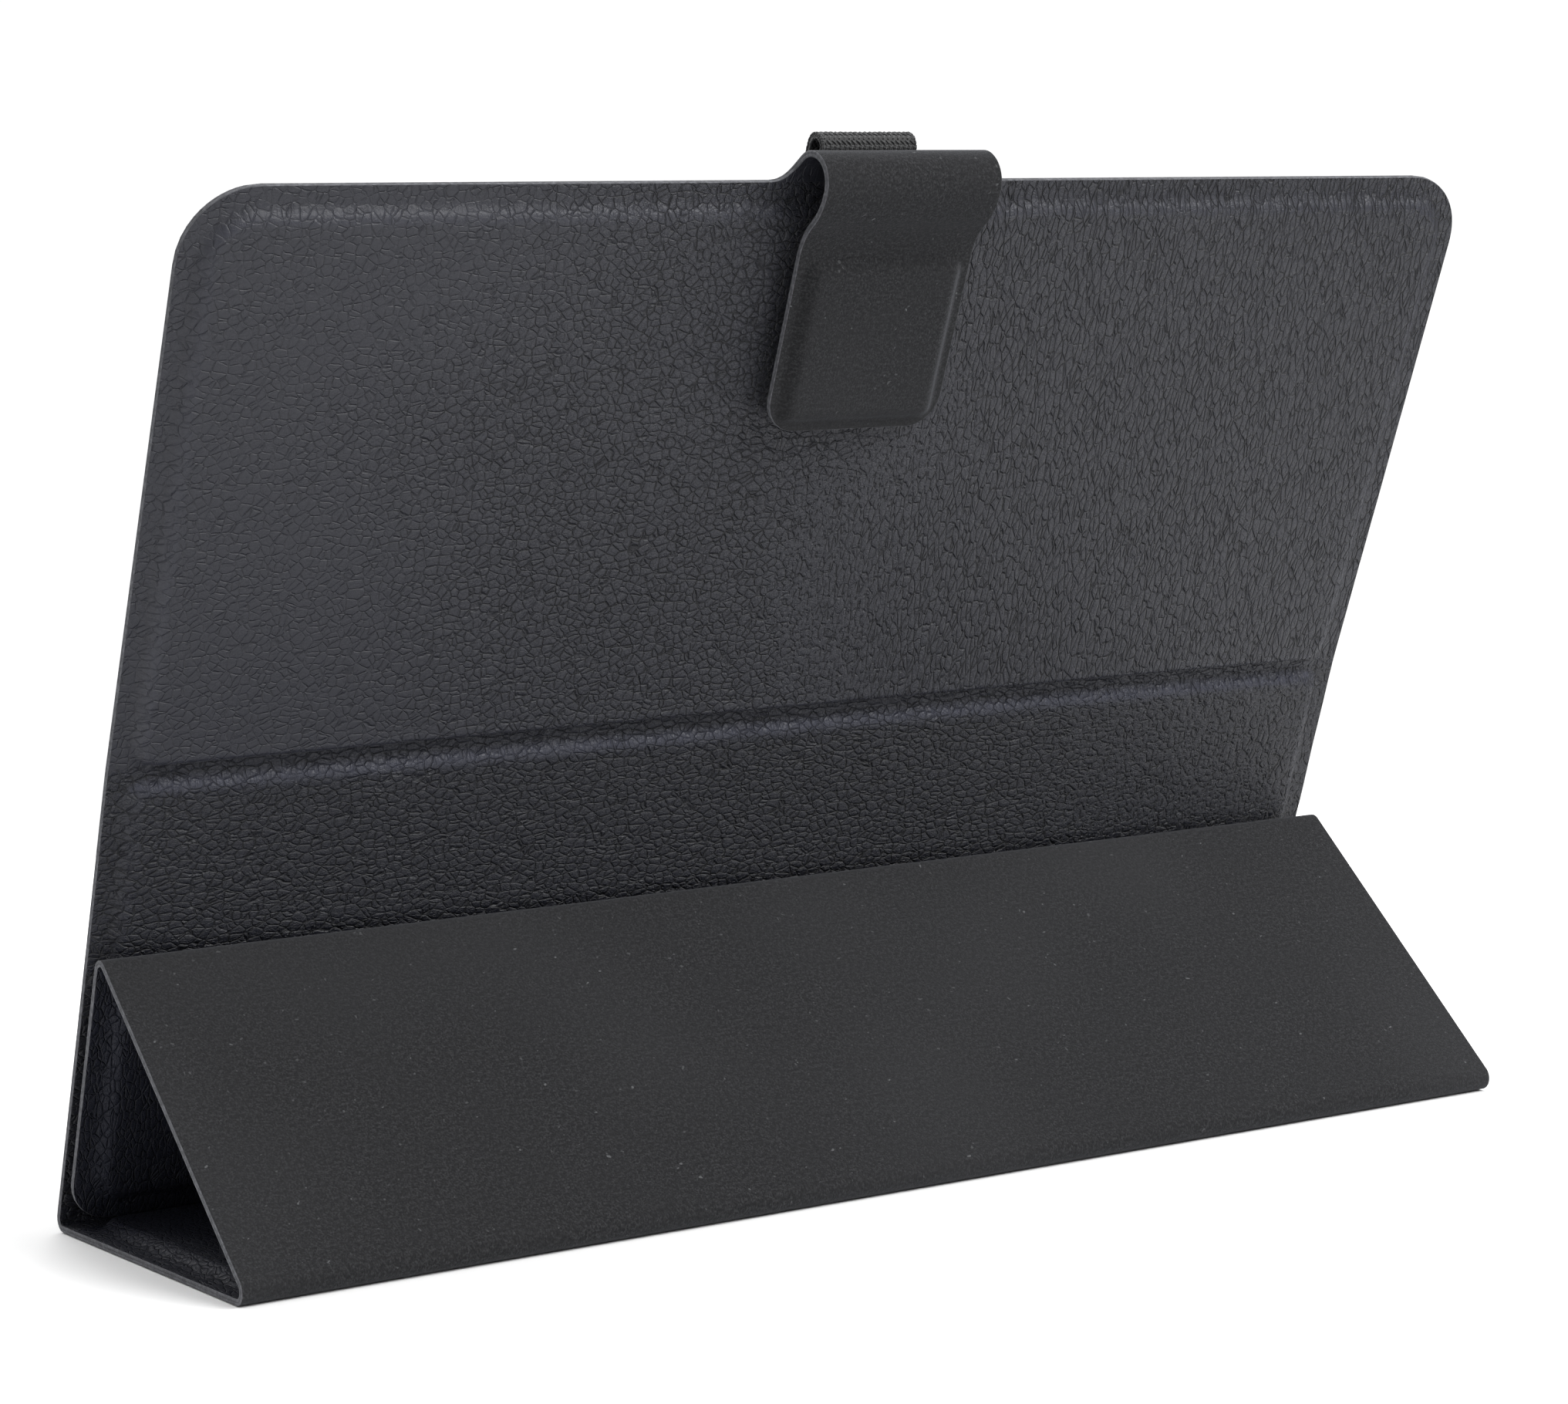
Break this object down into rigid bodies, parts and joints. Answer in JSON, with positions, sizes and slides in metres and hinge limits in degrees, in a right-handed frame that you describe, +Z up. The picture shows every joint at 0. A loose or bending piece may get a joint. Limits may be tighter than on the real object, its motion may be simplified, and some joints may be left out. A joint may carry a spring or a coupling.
{
  "type": "tablet case",
  "caption": "Folio tablet case with a creased back, a front cover folded into a triangular stand, a magnetic closing strap and an elastic pen loop.",
  "frame": {"origin": "centre of the flat underside of the base panel, on the surface that the case stands on", "axes": "+X along the case's width, -Y the side that the back's grained skin faces, +Z up"},
  "size_m": [0.262, 0.0867, 0.1825],
  "materials": {
    "grained_skin": "matte grained",
    "microfibre": "matte brushed",
    "stiff_board": "matte",
    "bare_steel": "satin",
    "elastic_webbing": "matte woven",
    "thread": "matte",
    "bonding_tape": "matte"
  },
  "bodies": {
    "back_upper": {"upper_skin": "grained_skin", "upper_lining": "microfibre", "upper_board": "stiff_board", "upper_keeper": "bare_steel", "carrier_tape": "bonding_tape", "carrier_board": "stiff_board", "carrier_cover": "microfibre", "corner_strap_top_left": "elastic_webbing", "corner_strap_top_right": "elastic_webbing", "corner_strap_bottom_left": "elastic_webbing", "corner_strap_bottom_right": "elastic_webbing", "strap_bar_tacks": "thread", "pen_loop": "elastic_webbing", "strap_root_skin": "grained_skin", "strap_root_lining": "microfibre"},
    "back_lower": {"lower_skin": "grained_skin", "lower_lining": "microfibre", "lower_board": "stiff_board", "lower_keepers": "bare_steel", "crease_skin": "grained_skin", "crease_lining": "microfibre", "back_hinge_skin": "grained_skin", "back_hinge_lining": "microfibre"},
    "spine": {"spine_skin": "grained_skin", "spine_lining": "microfibre"},
    "base": {"base_skin": "grained_skin", "base_lining": "microfibre", "base_board": "stiff_board", "base_hinge_skin": "grained_skin", "base_hinge_lining": "microfibre", "front_fold_skin": "grained_skin", "front_fold_lining": "microfibre"},
    "riser": {"riser_skin": "grained_skin", "riser_lining": "microfibre", "riser_board": "stiff_board", "top_fold_skin": "grained_skin", "top_fold_lining": "microfibre"},
    "flap": {"flap_skin": "grained_skin", "flap_lining": "microfibre", "flap_board": "stiff_board", "flap_magnets": "bare_steel", "flap_keeper": "bare_steel"},
    "strap_bridge": {"strap_bridge_skin": "grained_skin", "strap_bridge_lining": "microfibre"},
    "strap_tongue": {"strap_tongue_skin": "grained_skin", "strap_tongue_lining": "microfibre", "strap_board": "stiff_board", "strap_magnet": "bare_steel", "strap_bend_skin": "grained_skin", "strap_bend_lining": "microfibre"}
  },
  "joints": [
    {"name": "crease", "type": "hinge", "parent": "back_upper", "child": "back_lower", "pos_m": [0, 0.0079, 0.08128], "axis": [1, 0, 0], "range_deg": [-60, 2.8], "deforming": ["crease_skin", "crease_lining"]},
    {"name": "back_hinge", "type": "hinge", "parent": "back_lower", "child": "spine", "pos_m": [0, 0.03928, 0.00391], "axis": [1, 0, 0], "range_deg": [0, 165], "deforming": ["back_hinge_skin", "back_hinge_lining"]},
    {"name": "base_hinge", "type": "hinge", "parent": "spine", "child": "base", "pos_m": [0, 0.0332, -0.00045], "axis": [1, 0, 0], "range_deg": [0, 126], "deforming": ["base_hinge_skin", "base_hinge_lining"]},
    {"name": "front_fold", "type": "hinge", "parent": "base", "child": "riser", "pos_m": [0, -0.03491, 0.00153], "axis": [-1, 0, 0], "range_deg": [-70, 0], "deforming": ["front_fold_skin", "front_fold_lining"]},
    {"name": "top_fold", "type": "hinge", "parent": "riser", "child": "flap", "pos_m": [0, 0.0149, 0.04711], "axis": [1, 0, 0], "range_deg": [-35, 0], "deforming": ["top_fold_skin", "top_fold_lining"]},
    {"name": "strap_root", "type": "hinge", "parent": "back_upper", "child": "strap_bridge", "pos_m": [0, -0.03313, 0.1757], "axis": [-1, 0, 0], "range_deg": [0, 180], "deforming": ["strap_root_skin", "strap_root_lining", "pen_loop"]},
    {"name": "strap_fold", "type": "hinge", "parent": "strap_bridge", "child": "strap_tongue", "pos_m": [0, -0.04417, 0.17074], "axis": [-1, 0, 0], "range_deg": [0, 180], "deforming": ["strap_bend_skin", "strap_bend_lining"]}
  ],
  "couplings": [
    {"joint": "top_fold", "follows": "front_fold", "ratio": 0.5}
  ]
}
